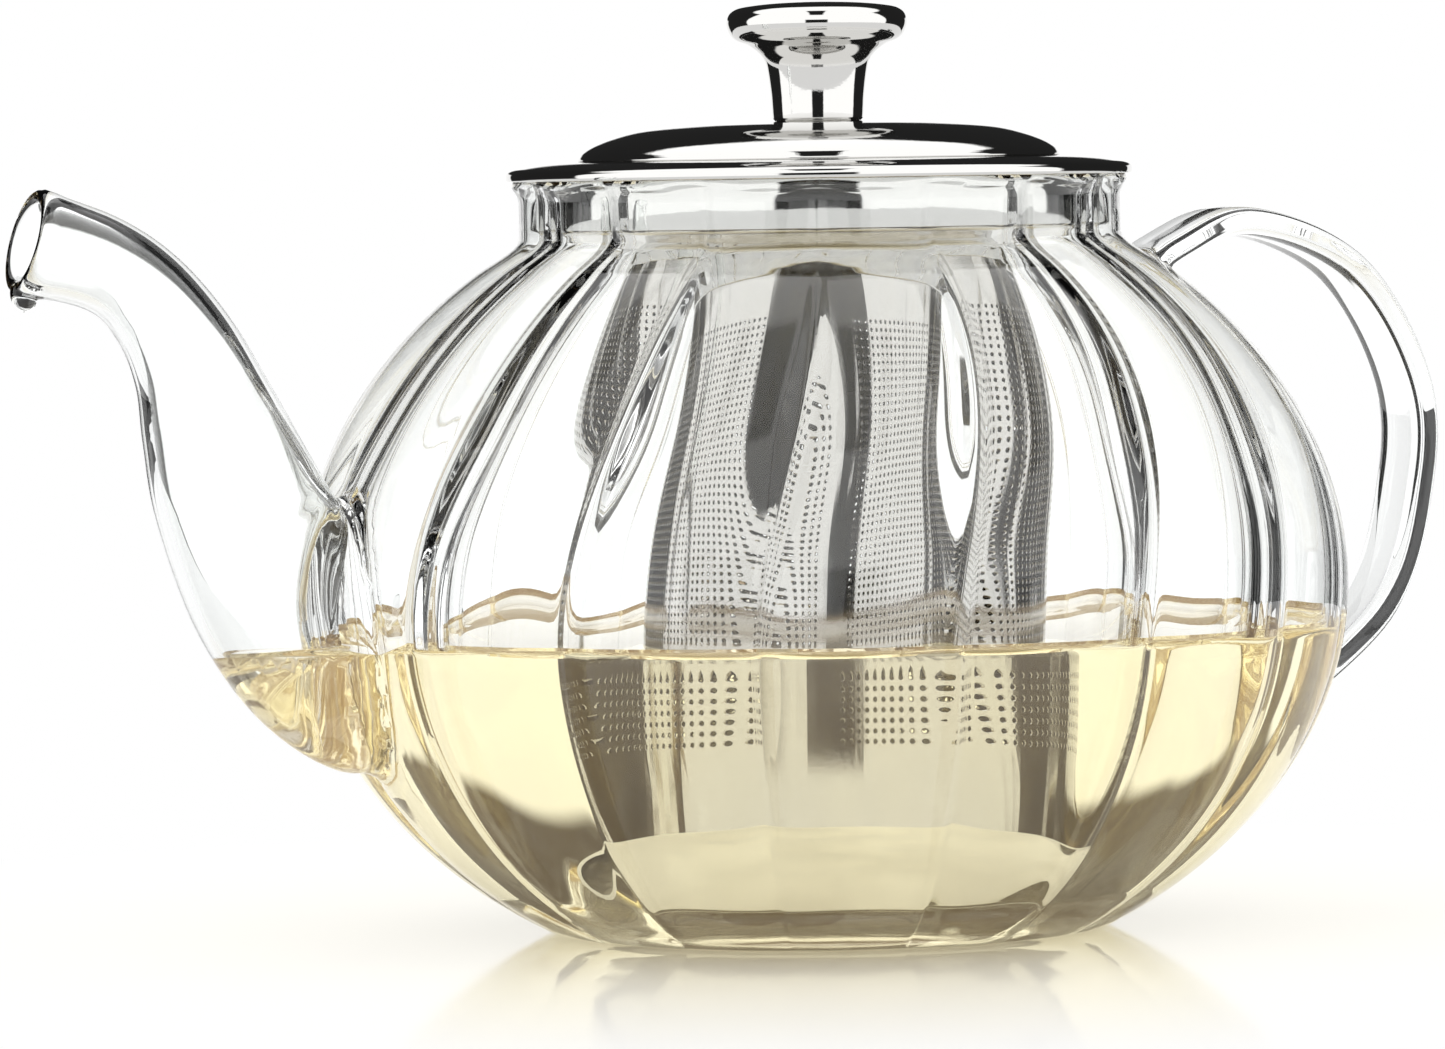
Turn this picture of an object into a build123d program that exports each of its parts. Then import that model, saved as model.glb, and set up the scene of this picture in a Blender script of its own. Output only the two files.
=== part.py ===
"""A mouth-blown ribbed glass teapot with a lift-out steel infuser and a lift-off steel lid.

Origin: centre of the flat resting face, on the pot's axis. +Z is up, the spout points to -X
and the handle to +X. Millimetres.
"""

import os
from math import cos, pi, radians, sin, sqrt

from build123d import *

# ---- glass bowl -------------------------------------------------------------
LOBES = 16  # blown lobes round the bowl, with a groove between each two
BOWL_RADIUS = 79.3  # at the crest of a lobe, at the widest height
WIDEST_Z = 52.0
BOWL_RISE = 63.7  # vertical half axis of the upper half of the bowl's ellipse
BOWL_DROP = 61.2  # the same, lower half
GLASS_WALL = 1.8  # at the crest of a lobe
BASE_THICKNESS = 5.0
GROOVE_DEPTH = 1.5  # outside, at the widest height
GROOVE_POWER = 2.5  # higher makes a groove narrower between fuller lobes
RIB_DEPTH = 3.4  # inside, each groove is a broad rib, where the glass is thickest
RIB_POWER = 1.5
GROOVE_FADE = 0.65  # share of its depth that a groove loses towards the mouth
RIB_TWIST = radians(7.0)  # the grooves lean by this much between the neck and the waist
FOOT_EDGE_ROUND = 0.9  # how far the resting face's edge is drawn in
FLOOR_EDGE_ROUND = 3.5  # the same, where the floor meets the wall inside
SHOULDER_Z = 101.5
SHOULDER_EASE = 0.6  # softens the bend from the bowl into the neck
NECK_SWEEP = 5.0  # height of that bend
NECK_RADIUS = 45.6
MOUTH_Z = 114.4
MOUTH_FLARE = 1.0
FLARE_HEIGHT = 3.0
CUT_CLEARANCE = 1.0  # how far a cutting shape runs past the surface that it opens
POINTS_PER_LOBE = 6

# ---- spout ------------------------------------------------------------------
SPOUT_WALL = 1.9
# upper edge, lower edge and half width of the tube, from the mouth down to the bowl
SPOUT_STATIONS = [
    ((-123.2, 114.0), (-127.4, 98.9), 7.9),
    ((-111.4, 109.8), (-115.6, 96.0), 7.5),
    ((-102.4, 103.9), (-110.8, 91.2), 7.8),
    ((-94.5, 95.0), (-108.2, 84.4), 8.7),
    ((-88.0, 84.2), (-107.3, 76.2), 9.9),
    ((-83.2, 75.6), (-105.3, 64.5), 11.4),
    ((-80.2, 70.3), (-98.9, 47.2), 12.6),
    ((-78.6, 68.2), (-89.0, 33.8), 13.6),
    ((-74.0, 66.4), (-76.2, 26.4), 14.2),
    ((-64.0, 65.0), (-64.0, 29.5), 14.2),
]
LIP_BEAD_RADIUS = 1.8
LIP_BEAD_OFFSET = (1.4, 0.0, -0.6)  # from the lowest point of the spout's mouth
RIM_RADIUS = 1.15

# ---- handle -----------------------------------------------------------------
HANDLE_WIDTH = 15.0
HANDLE_THICKNESS = 4.4
HANDLE_PATH = [
    (44.0, 93.0),
    (57.0, 102.1),
    (69.5, 105.9),
    (86.6, 98.8),
    (96.8, 82.5),
    (98.2, 66.0),
    (90.3, 44.8),
    (66.0, 26.0),
]
HANDLE_EDGE_ROUND = 1.7

# ---- steel sheet ------------------------------------------------------------
SHEET = 0.6
SHEET_GAP = 0.35  # between the collar's upper edge and the brim
BRIM_RADIUS = 47.5
BRIM_OPENING_RADIUS = 33.0
BRIM_TOP_Z = 116.5
BRIM_TIP_Z = 115.0
BRIM_BEND = (43.0, 116.1)  # on the arc where the brim slopes down to its tip
COLLAR_RADIUS = 42.0
COLLAR_FOOT_Z = 105.6
CORNER_ROUND = 1.4
STEP_THICKNESS = 0.4  # height of the collar's foot, where it steps in to the basket
BASKET_RADIUS = 30.0
STUB_DROP = 2.0  # from the basket's top to the collar's short sleeve round it
STUB_HEIGHT = 3.0
BASKET_TOP_Z = 103.6
BASKET_BOTTOM_Z = 25.7
PERFORATED_TOP_Z = 92.5
PERFORATED_BOTTOM_Z = 35.2
DRAIN_HOLE_RADIUS = 1.6
DRAIN_ROWS = 4
DRAIN_COLUMNS = 10
BOTTOM_LIP = 4.0
SEAM_ANGLE = -116.0  # plain strip down the basket, seen from above

# ---- lid and knob -----------------------------------------------------------
DOME_RADIUS = 36.5
DOME_TOP_Z = 122.3
CROWN_EDGE = (22.0, 121.6)  # where the flat crown starts to turn down
ROLL_EDGE = (33.0, 119.4)  # where it turns down more tightly to the rim
RESTING_GAP = 0.05  # between the lid's rim and the brim
SKIRT_RADIUS = 32.5
SKIRT_FOOT_Z = 111.5
SKIRT_TOP_Z = 118.9
STEM_RADIUS = 6.9
STEM_CHAMFER = 0.5
NECK_Z = 129.6
NECKED_RADIUS = 7.5
NECK_ARC_MIDDLE = (8.8, 132.6)
LIP_Z = 134.5
LIP_RADIUS = 12.2
HEAD_RADIUS = 13.7
HEAD_Z = 137.2
HEAD_TOP_EDGE = (12.0, 139.4)
KNOB_TOP_Z = 140.3
SCREW_RADIUS = 2.0
SCREW_BORE_RADIUS = 2.05
SCREW_END_Z = 131.0
SCREW_HEAD_RADIUS = 4.0
SCREW_HEAD_HEIGHT = 2.2
RECESS_WIDTH = 1.0
RECESS_LENGTH = 4.8


def bowl_radius(z):
    """Crest radius of the bowl's ellipse at a height."""
    half_axis = BOWL_RISE if z > WIDEST_Z else BOWL_DROP
    return BOWL_RADIUS * sqrt(1 - ((z - WIDEST_Z) / half_axis) ** 2)


def smooth(low, high, value):
    """0 below low, 1 above high, and an S-curve between."""
    t = min(1.0, max(0.0, (value - low) / (high - low)))
    return t * t * (3 - 2 * t)


def groove_phase(z):
    """Angle of a groove at a height: straight below the waist, leaning above it."""
    return RIB_TWIST * (smooth(WIDEST_Z - 10, SHOULDER_Z, z) - 1)


def groove_share(z):
    """Grooves are deepest at the waist and fade towards the base and the mouth."""
    rising = 0.3 + 0.7 * smooth(0, 30, z)
    fading = 1 - GROOVE_FADE * smooth(WIDEST_Z + 20, MOUTH_Z, z)
    return rising * fading


def lobed_points(radius, depth, power, phase):
    """Points round a horizontal section with a groove between each two lobes."""
    count = LOBES * POINTS_PER_LOBE
    points = []
    for k in range(count):
        angle = 2 * pi * k / count
        crest = abs(sin(LOBES * angle / 2))
        r = radius - depth * (1 - crest) ** power
        points.append((r * cos(angle + phase), r * sin(angle + phase)))
    return points


def outer_sections():
    """Height and crest radius of the outer sections, base to mouth."""
    sections = [(0.0, bowl_radius(0) - FOOT_EDGE_ROUND)]
    for z in [1.2, 4.0, 9.0, 17.0, 28.0, 40.0, WIDEST_Z, 64.0, 75.0, 84.0, 91.5, 97.0]:
        sections.append((z, bowl_radius(z)))
    sections += [
        (SHOULDER_Z, bowl_radius(SHOULDER_Z) - SHOULDER_EASE),
        (SHOULDER_Z + NECK_SWEEP / 2, NECK_RADIUS + SHOULDER_EASE),
        (SHOULDER_Z + NECK_SWEEP, NECK_RADIUS),
        (MOUTH_Z - FLARE_HEIGHT, NECK_RADIUS),
        (MOUTH_Z, NECK_RADIUS + MOUTH_FLARE),
    ]
    return sections


def inner_sections():
    """The same for the inside of the wall, from the floor to just above the mouth."""
    sections = []
    for z, radius in outer_sections()[3:]:
        sections.append((z, radius - GLASS_WALL))
    floor = (BASE_THICKNESS, bowl_radius(BASE_THICKNESS) - GLASS_WALL - FLOOR_EDGE_ROUND)
    above = (MOUTH_Z + CUT_CLEARANCE, NECK_RADIUS + MOUTH_FLARE - GLASS_WALL)
    return [floor] + sections + [above]


def middle_of_crown(edge, top_z):
    """Point halfway out on the arc from the axis to an edge, centred on the axis."""
    radius, drop = edge[0], top_z - edge[1]
    arc_radius = (radius**2 + drop**2) / (2 * drop)
    return (radius / 2, top_z - arc_radius + sqrt(arc_radius**2 - radius**2 / 4))


def spout_sections(shrink):
    """Plane, half height and half width of each oval section across the spout."""
    sections = []
    for upper, lower, half_width in SPOUT_STATIONS:
        middle = Vector((upper[0] + lower[0]) / 2, 0, (upper[1] + lower[1]) / 2)
        across = Vector(upper[0] - lower[0], 0, upper[1] - lower[1])
        half_height = across.length / 2 - shrink
        along = across.cross(Vector(0, 1, 0))
        plane = Plane(origin=middle, x_dir=across, z_dir=along)
        sections.append((plane, half_height, half_width - shrink))
    return sections


# ---- solid shapes that the glass pieces are cut from --------------------------
with BuildPart() as bowl_solid:
    for height, crest_radius in outer_sections():
        with BuildSketch(Plane.XY.offset(height)):
            with BuildLine():
                Spline(
                    *lobed_points(
                        crest_radius,
                        GROOVE_DEPTH * groove_share(height),
                        GROOVE_POWER,
                        groove_phase(height),
                    ),
                    periodic=True,
                )
            make_face()
    loft()

with BuildPart() as bowl_space:
    for height, crest_radius in inner_sections():
        with BuildSketch(Plane.XY.offset(height)):
            with BuildLine():
                Spline(
                    *lobed_points(
                        crest_radius,
                        RIB_DEPTH * groove_share(height),
                        RIB_POWER,
                        groove_phase(height),
                    ),
                    periodic=True,
                )
            make_face()
    loft()

with BuildPart() as spout_bore:
    for section_plane, half_height, half_width in spout_sections(SPOUT_WALL):
        with BuildSketch(section_plane):
            Ellipse(half_height, half_width)
    loft()

# ---- glass bowl: one blown wall, cut at the waist and the shoulder into three hollow nodes ----
with BuildPart() as bowl_wall:
    add(bowl_solid.part)
    add(bowl_space.part, mode=Mode.SUBTRACT)
    add(spout_bore.part, mode=Mode.SUBTRACT)

with BuildPart() as bowl_lower:
    add(bowl_wall.part)
    split(bisect_by=Plane.XY.offset(WIDEST_Z), keep=Keep.BOTTOM)
bowl_lower.part.label = "bowl_lower"
export_step(bowl_lower.part, "parts/bowl_lower.step")

with BuildPart() as bowl_upper:
    add(bowl_wall.part)
    split(bisect_by=Plane.XY.offset(WIDEST_Z), keep=Keep.TOP)
    split(bisect_by=Plane.XY.offset(SHOULDER_Z), keep=Keep.BOTTOM)
bowl_upper.part.label = "bowl_upper"
export_step(bowl_upper.part, "parts/bowl_upper.step")

with BuildPart() as bowl_neck:
    add(bowl_wall.part)
    split(bisect_by=Plane.XY.offset(SHOULDER_Z), keep=Keep.TOP)
bowl_neck.part.label = "bowl_neck"
export_step(bowl_neck.part, "parts/bowl_neck.step")

# ---- spout: a drawn tube fused to the bowl, with a fire-polished rim and a drip lip ----
mouth_plane, mouth_half_height, _ = spout_sections(0)[0]
lip_low = Vector(SPOUT_STATIONS[0][1][0], 0, SPOUT_STATIONS[0][1][1])
with BuildPart() as spout:
    for section_plane, half_height, half_width in spout_sections(0):
        with BuildSketch(section_plane):
            Ellipse(half_height, half_width)
    loft()
    with Locations(mouth_plane):
        Torus(mouth_half_height - SPOUT_WALL / 2, RIM_RADIUS)
    with Locations(lip_low + Vector(*LIP_BEAD_OFFSET)):
        Sphere(LIP_BEAD_RADIUS)
    add(spout_bore.part, mode=Mode.SUBTRACT)
    add(bowl_solid.part, mode=Mode.SUBTRACT)
spout.part.label = "spout"
export_step(spout.part, "parts/spout.step")

# ---- handle: a flat glass ribbon bent into a C, both ends fused to the bowl ----
with BuildPart() as handle:
    with BuildLine(Plane.XZ) as handle_line:
        ribbon_middle = Spline(*HANDLE_PATH)
    with BuildSketch(Plane(origin=ribbon_middle @ 0, x_dir=(0, 1, 0), z_dir=ribbon_middle % 0)):
        RectangleRounded(HANDLE_WIDTH, HANDLE_THICKNESS, HANDLE_EDGE_ROUND)
    sweep()
    add(bowl_solid.part, mode=Mode.SUBTRACT)
handle.part.label = "handle"
export_step(handle.part, "parts/handle.step")

# ---- infuser brim: a shallow sloping ring that rests on the glass mouth ----
with BuildPart() as infuser_brim:
    with BuildSketch(Plane.XZ):
        with BuildLine():
            Line((BRIM_OPENING_RADIUS, BRIM_TOP_Z), (DOME_RADIUS, BRIM_TOP_Z))
            ThreePointArc((DOME_RADIUS, BRIM_TOP_Z), BRIM_BEND, (BRIM_RADIUS, BRIM_TIP_Z))
            offset(amount=SHEET, side=Side.RIGHT)
        make_face()
    revolve(axis=Axis.Z)
infuser_brim.part.label = "infuser_brim"
export_step(infuser_brim.part, "parts/infuser_brim.step")

# ---- infuser collar: hangs in the glass neck and steps in to the basket ----
collar_top_z = BRIM_TOP_Z - SHEET - SHEET_GAP
stub_top_z = BASKET_TOP_Z - STUB_DROP
with BuildPart() as infuser_collar:
    with BuildSketch(Plane.XZ):
        with BuildLine():
            Polyline(
                (COLLAR_RADIUS - SHEET, collar_top_z),
                (COLLAR_RADIUS, collar_top_z),
                (COLLAR_RADIUS, COLLAR_FOOT_Z),
                (BASKET_RADIUS, stub_top_z),
                (BASKET_RADIUS, stub_top_z - STUB_HEIGHT),
                (BASKET_RADIUS - SHEET, stub_top_z - STUB_HEIGHT),
                (BASKET_RADIUS - SHEET, stub_top_z + STEP_THICKNESS),
                (COLLAR_RADIUS - SHEET, COLLAR_FOOT_Z + STEP_THICKNESS),
                close=True,
            )
        make_face()
    revolve(axis=Axis.Z)
infuser_collar.part.label = "infuser_collar"
export_step(infuser_collar.part, "parts/infuser_collar.step")

# ---- infuser basket: a rolled perforated sheet with a plain seam, and its bottom ----
with BuildPart() as infuser_basket:
    with BuildSketch(Plane.XY.offset(BASKET_BOTTOM_Z)):
        Circle(BASKET_RADIUS - SHEET)
        Circle(BASKET_RADIUS - 2 * SHEET, mode=Mode.SUBTRACT)
    extrude(amount=BASKET_TOP_Z - STUB_HEIGHT - BASKET_BOTTOM_Z)
    row_gap = (PERFORATED_TOP_Z - PERFORATED_BOTTOM_Z) / DRAIN_ROWS
    for row in range(DRAIN_ROWS):
        hole_z = PERFORATED_BOTTOM_Z + row_gap * (row + 0.5)
        for column in range(DRAIN_COLUMNS):
            turn = SEAM_ANGLE + 360 * (column + 0.5) / DRAIN_COLUMNS
            hole_plane = Plane((0, 0, hole_z), z_dir=(cos(radians(turn)), sin(radians(turn)), 0))
            with BuildSketch(hole_plane):
                Circle(DRAIN_HOLE_RADIUS)
            extrude(amount=BASKET_RADIUS + CUT_CLEARANCE, mode=Mode.SUBTRACT)
infuser_basket.part.label = "infuser_basket"
export_step(infuser_basket.part, "parts/infuser_basket.step")

with BuildPart() as infuser_bottom:
    with BuildSketch(Plane.XZ):
        with BuildLine():
            Polyline(
                (0, BASKET_BOTTOM_Z + SHEET),
                (BASKET_RADIUS - 2 * SHEET - CORNER_ROUND, BASKET_BOTTOM_Z + SHEET),
                (BASKET_RADIUS - 2 * SHEET, BASKET_BOTTOM_Z + SHEET + CORNER_ROUND),
                (BASKET_RADIUS - 2 * SHEET, BASKET_BOTTOM_Z + BOTTOM_LIP),
            )
            offset(amount=SHEET, side=Side.LEFT)
        make_face()
    revolve(axis=Axis.Z)
infuser_bottom.part.label = "infuser_bottom"
export_step(infuser_bottom.part, "parts/infuser_bottom.step")

# ---- lid dome: a low crown with a tighter roll down to its rim ----
with BuildPart() as lid_dome:
    with BuildSketch(Plane.XZ):
        with BuildLine():
            crown_drop = DOME_TOP_Z - CROWN_EDGE[1]
            crown = ThreePointArc(
                (SCREW_BORE_RADIUS, DOME_TOP_Z),
                (CROWN_EDGE[0] / 2, DOME_TOP_Z - crown_drop / 4),
                CROWN_EDGE,
            )
            shoulder = TangentArc(crown @ 1, ROLL_EDGE, tangent=crown % 1)
            rim = (DOME_RADIUS, BRIM_TOP_Z + SHEET + RESTING_GAP)
            TangentArc(shoulder @ 1, rim, tangent=shoulder % 1)
            offset(amount=SHEET, side=Side.RIGHT)
        make_face()
    revolve(axis=Axis.Z)
lid_dome.part.label = "lid_dome"
export_step(lid_dome.part, "parts/lid_dome.step")

# ---- lid skirt: a plain ring welded under the dome that drops into the brim's opening ----
with BuildPart() as lid_skirt:
    with BuildSketch(Plane.XY.offset(SKIRT_FOOT_Z)):
        Circle(SKIRT_RADIUS)
        Circle(SKIRT_RADIUS - SHEET, mode=Mode.SUBTRACT)
    extrude(amount=SKIRT_TOP_Z - SKIRT_FOOT_Z)
lid_skirt.part.label = "lid_skirt"
export_step(lid_skirt.part, "parts/lid_skirt.step")

# ---- knob: a turned solid, waisted stem and overhanging rounded head, bored from below ----
knob_seat_z = DOME_TOP_Z + 0.02
with BuildPart() as knob:
    with BuildSketch(Plane.XZ):
        with BuildLine():
            Polyline(
                (0, KNOB_TOP_Z),
                (0, knob_seat_z),
                (STEM_RADIUS - STEM_CHAMFER, knob_seat_z),
                (STEM_RADIUS, knob_seat_z + STEM_CHAMFER),
                (NECKED_RADIUS, NECK_Z),
            )
            ThreePointArc((NECKED_RADIUS, NECK_Z), NECK_ARC_MIDDLE, (LIP_RADIUS, LIP_Z))
            ThreePointArc((LIP_RADIUS, LIP_Z), (HEAD_RADIUS, HEAD_Z), HEAD_TOP_EDGE)
            ThreePointArc(HEAD_TOP_EDGE, middle_of_crown(HEAD_TOP_EDGE, KNOB_TOP_Z), (0, KNOB_TOP_Z))
        make_face()
    revolve(axis=Axis.Z)
    with BuildSketch(Plane.XY.offset(knob_seat_z)):
        Circle(SCREW_BORE_RADIUS)
    extrude(amount=SCREW_END_Z + 0.5 - knob_seat_z, mode=Mode.SUBTRACT)
knob.part.label = "knob"
export_step(knob.part, "parts/knob.step")

# ---- knob screw: a pan-head screw up through the dome into the knob ----
screw_seat_z = DOME_TOP_Z - SHEET - 0.03
with BuildPart() as knob_screw:
    with BuildSketch(Plane.XY.offset(screw_seat_z - SCREW_HEAD_HEIGHT)):
        Circle(SCREW_HEAD_RADIUS)
    extrude(amount=SCREW_HEAD_HEIGHT)
    fillet(knob_screw.edges().group_by(Axis.Z)[0], SCREW_HEAD_HEIGHT / 3)
    with BuildSketch(Plane.XY.offset(screw_seat_z)):
        Circle(SCREW_RADIUS)
    extrude(amount=SCREW_END_Z - screw_seat_z)
    with BuildSketch(Plane.XY.offset(screw_seat_z - SCREW_HEAD_HEIGHT)):
        Rectangle(RECESS_LENGTH, RECESS_WIDTH)
        Rectangle(RECESS_WIDTH, RECESS_LENGTH)
    extrude(amount=SCREW_HEAD_HEIGHT / 2, mode=Mode.SUBTRACT)
knob_screw.part.label = "knob_screw"
export_step(knob_screw.part, "parts/knob_screw.step")
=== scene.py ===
"""Glass teapot: fused ribbed glass, tea, perforated infuser, steel lid, and a bright studio."""

import math

import bmesh
import bpy
from mathutils import Matrix, Vector, kdtree


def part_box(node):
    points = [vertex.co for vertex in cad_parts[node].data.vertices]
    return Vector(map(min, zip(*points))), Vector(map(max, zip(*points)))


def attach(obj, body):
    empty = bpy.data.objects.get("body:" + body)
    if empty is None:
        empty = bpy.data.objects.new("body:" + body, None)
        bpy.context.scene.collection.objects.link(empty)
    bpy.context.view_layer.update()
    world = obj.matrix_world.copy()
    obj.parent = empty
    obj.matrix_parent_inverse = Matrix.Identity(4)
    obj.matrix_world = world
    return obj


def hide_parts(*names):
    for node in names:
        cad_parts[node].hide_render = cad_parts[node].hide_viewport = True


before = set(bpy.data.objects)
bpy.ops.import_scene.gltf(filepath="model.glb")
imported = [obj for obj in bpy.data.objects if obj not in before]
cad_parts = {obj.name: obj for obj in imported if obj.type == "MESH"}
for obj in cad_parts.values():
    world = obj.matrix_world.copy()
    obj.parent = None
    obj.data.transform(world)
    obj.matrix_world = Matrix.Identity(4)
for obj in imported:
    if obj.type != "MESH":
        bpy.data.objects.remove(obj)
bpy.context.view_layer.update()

# ---- driving dimensions, metres ------------------------------------------------
LOBES = 16
BOWL_RADIUS = 0.0793
WIDEST_Z = 0.0520
HALF_LOBE_POINTS = 12
BOWL_RISE = 0.0637
BOWL_DROP = 0.0612
WALL = 0.0018
GROOVE_DEPTH = 0.0015
GROOVE_POWER = 3.5  # higher makes a groove narrower between fuller lobes
GROOVE_ROUND = 0.025  # share of half a lobe over which a groove's bottom is rounded
GROOVE_FADE = 0.65  # share of a groove's depth that is gone at the mouth
RIB_SHARE = 2.27  # inside each groove is a rib this much deeper, where the glass is thickest
RIB_POWER = 2
RIB_ROUND = 0.08
RIB_SWELL = 0.5  # how much fuller again the ribs are under the shoulder
RIB_TWIST = math.radians(7.0)
SHOULDER_Z = 0.1000
NECK_START_Z = 0.1052
NECK_RADIUS = 0.0456
MOUTH_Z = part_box("bowl_neck")[1][2]
MOUTH_FLARE = 0.0010
FLOOR_THICKNESS = 0.0050
WALL_START_Z = 0.0074  # where the inside of the wall leaves the floor's round
TEA_LEVEL = 0.0460
TEA_OVERLAP = 0.00015  # the tea's skin lies this far inside the wetted glass
MENISCUS_DROP = 0.0011  # from the level at the glass to the flat middle
# distance in from the glass and height above the flat middle
MENISCUS = [(0.0, 0.0020), (0.0005, 0.0013), (0.0012, 0.0007), (0.0023, 0.0002), (0.0038, 0)]
MENISCUS_GAP = (9, 15)  # degrees from the spout over which the meniscus fades in
GLASS_NODES = ["bowl_lower", "bowl_upper", "bowl_neck", "spout", "handle"]

# upper edge, lower edge (x, z) and half width of the spout tube, mouth to bowl
SPOUT_STATIONS = [
    ((-0.1232, 0.1140), (-0.1274, 0.0989), 0.0079),
    ((-0.1114, 0.1098), (-0.1156, 0.0960), 0.0075),
    ((-0.1024, 0.1039), (-0.1108, 0.0912), 0.0078),
    ((-0.0945, 0.0950), (-0.1082, 0.0844), 0.0087),
    ((-0.0880, 0.0842), (-0.1073, 0.0762), 0.0099),
    ((-0.0832, 0.0756), (-0.1053, 0.0645), 0.0114),
    ((-0.0802, 0.0703), (-0.0989, 0.0472), 0.0126),
    ((-0.0786, 0.0682), (-0.0890, 0.0338), 0.0136),
    ((-0.0740, 0.0664), (-0.0762, 0.0264), 0.0142),
    ((-0.0640, 0.0650), (-0.0640, 0.0295), 0.0142),
]
SPOUT_WALL = 0.0019

HANDLE_WIDTH = 0.0150
HANDLE_THICKNESS = 0.0044
HANDLE_ROUNDING = (0.42, 0.62)  # exponents of the section across and through; 1 is an ellipse
HANDLE_PATH = [
    (0.0440, 0.0930),
    (0.0570, 0.1021),
    (0.0695, 0.1059),
    (0.0866, 0.0988),
    (0.0968, 0.0825),
    (0.0978, 0.0660),
    (0.0903, 0.0448),
    (0.0660, 0.0260),
]

SHEET = 0.0006
BRIM_RADIUS = 0.0475
BRIM_OPENING_RADIUS = 0.0334
BRIM_BEND_RADIUS = 0.0387  # the brim is flat inside this and slopes outside it
BRIM_SAG = 0.0013
BRIM_LIP = 0.0008  # width of the turned-down edge
BRIM_TOP_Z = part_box("infuser_brim")[1][2]
COLLAR_RADIUS = 0.0420
COLLAR_FOOT_Z = 0.1056
BASKET_RADIUS = 0.0294
BASKET_SHEET = 0.6 * SHEET
BASKET_LOW_Z, BASKET_HIGH_Z = (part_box("infuser_basket")[k][2] for k in (0, 1))
HOLE_RADIUS = 0.00026
RIM_RADIUS = 0.00034  # where a punched hole's rounded rim starts
RIM_DROP = 0.00007
HOLE_PITCH = (0.00118, 0.00116)
HOLES_LOW_Z = 0.0352
HOLES_HIGH_Z = 0.0925
PLAIN_EDGE = 0.0040  # height of the band next to the holes and at the foot
PANELS = 4
SEAM_ANGLE = math.radians(-116.0)
SEAM_WIDTH = 0.0062


# ---- mesh helpers -----------------------------------------------------------------
def new_object(name, verts, faces, smooth=True):
    mesh = bpy.data.meshes.new(name)
    mesh.from_pydata([tuple(v) for v in verts], [], faces)
    mesh.update()
    obj = bpy.data.objects.new(name, mesh)
    bpy.context.scene.collection.objects.link(obj)
    if smooth:
        mesh.shade_smooth()
    return obj


def skin(name, rings, close_start=True, close_end=True, loop=False):
    """A surface through closed rings of equal length. Ends are closed by a fan to a centre point."""
    count = len(rings[0])
    verts = [p for ring in rings for p in ring]
    faces = []
    steps = len(rings) if loop else len(rings) - 1
    for i in range(steps):
        low, high = i * count, ((i + 1) % len(rings)) * count
        for k in range(count):
            n = (k + 1) % count
            faces.append((low + k, low + n, high + n, high + k))
    if close_start and not loop:
        verts.append(sum((Vector(p) for p in rings[0]), Vector()) / count)
        faces += [(len(verts) - 1, (k + 1) % count, k) for k in range(count)]
    if close_end and not loop:
        base = (len(rings) - 1) * count
        verts.append(sum((Vector(p) for p in rings[-1]), Vector()) / count)
        faces += [(len(verts) - 1, base + k, base + (k + 1) % count) for k in range(count)]
    obj = new_object(name, verts, faces)
    clean(obj)
    return obj


def lathe(name, profile, segments=256):
    """A closed profile of (radius, z) turned about the pot's axis."""
    rings = []
    for k in range(segments):
        a = 2 * math.pi * k / segments
        rings.append([(r * math.cos(a), r * math.sin(a), z) for r, z in profile])
    return skin(name, rings, loop=True)


def clean(obj, merge=1e-6):
    """Joins doubled points and points every face outwards."""
    bm = bmesh.new()
    bm.from_mesh(obj.data)
    bmesh.ops.remove_doubles(bm, verts=bm.verts, dist=merge)
    bmesh.ops.dissolve_degenerate(bm, edges=bm.edges, dist=merge / 10)
    bmesh.ops.recalc_face_normals(bm, faces=bm.faces)
    bm.to_mesh(obj.data)
    bm.free()
    obj.data.shade_smooth()


def combine(base, other, operation):
    """Boolean of two closed meshes; the second one is used up."""
    modifier = base.modifiers.new(operation, "BOOLEAN")
    modifier.operation = operation
    modifier.object = other
    modifier.solver = "MANIFOLD"
    dg = bpy.context.evaluated_depsgraph_get()
    mesh = bpy.data.meshes.new_from_object(base.evaluated_get(dg))
    base.modifiers.clear()
    base.data = mesh
    bpy.data.objects.remove(other)


def smooth_step(low, high, value):
    t = min(1.0, max(0.0, (value - low) / (high - low)))
    return t * t * (3 - 2 * t)


def curve_through(points, steps):
    """Catmull-Rom points through a list of equal-length tuples."""
    out = []
    last = len(points) - 1
    for i in range(last):
        p0, p1, p2, p3 = (points[max(0, min(last, i + k))] for k in (-1, 0, 1, 2))
        for s in range(steps):
            t = s / steps
            out.append(tuple(
                0.5 * (2 * b + (c - a) * t + (2 * a - 5 * b + 4 * c - d) * t * t
                       + (3 * b - a - 3 * c + d) * t ** 3)
                for a, b, c, d in zip(p0, p1, p2, p3)
            ))
    out.append(tuple(points[-1]))
    return out


# ---- bowl shape ---------------------------------------------------------------------
def ellipse_radius(z, inset):
    rise = (BOWL_RISE if z > WIDEST_Z else BOWL_DROP) - inset
    return (BOWL_RADIUS - inset) * math.sqrt(max(0.0, 1 - ((z - WIDEST_Z) / rise) ** 2))


def neck_blend(z, inset):
    """Concave sweep from the shoulder to the neck."""
    start = ellipse_radius(SHOULDER_Z, inset)
    rise = BOWL_RISE - inset
    slope = -(BOWL_RADIUS - inset) ** 2 * (SHOULDER_Z - WIDEST_Z) / rise ** 2 / start
    span = NECK_START_Z - SHOULDER_Z
    t = (z - SHOULDER_Z) / span
    end = NECK_RADIUS - inset
    return ((2 * t ** 3 - 3 * t * t + 1) * start + (t ** 3 - 2 * t * t + t) * span * slope
            + (3 * t * t - 2 * t ** 3) * end)


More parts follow.
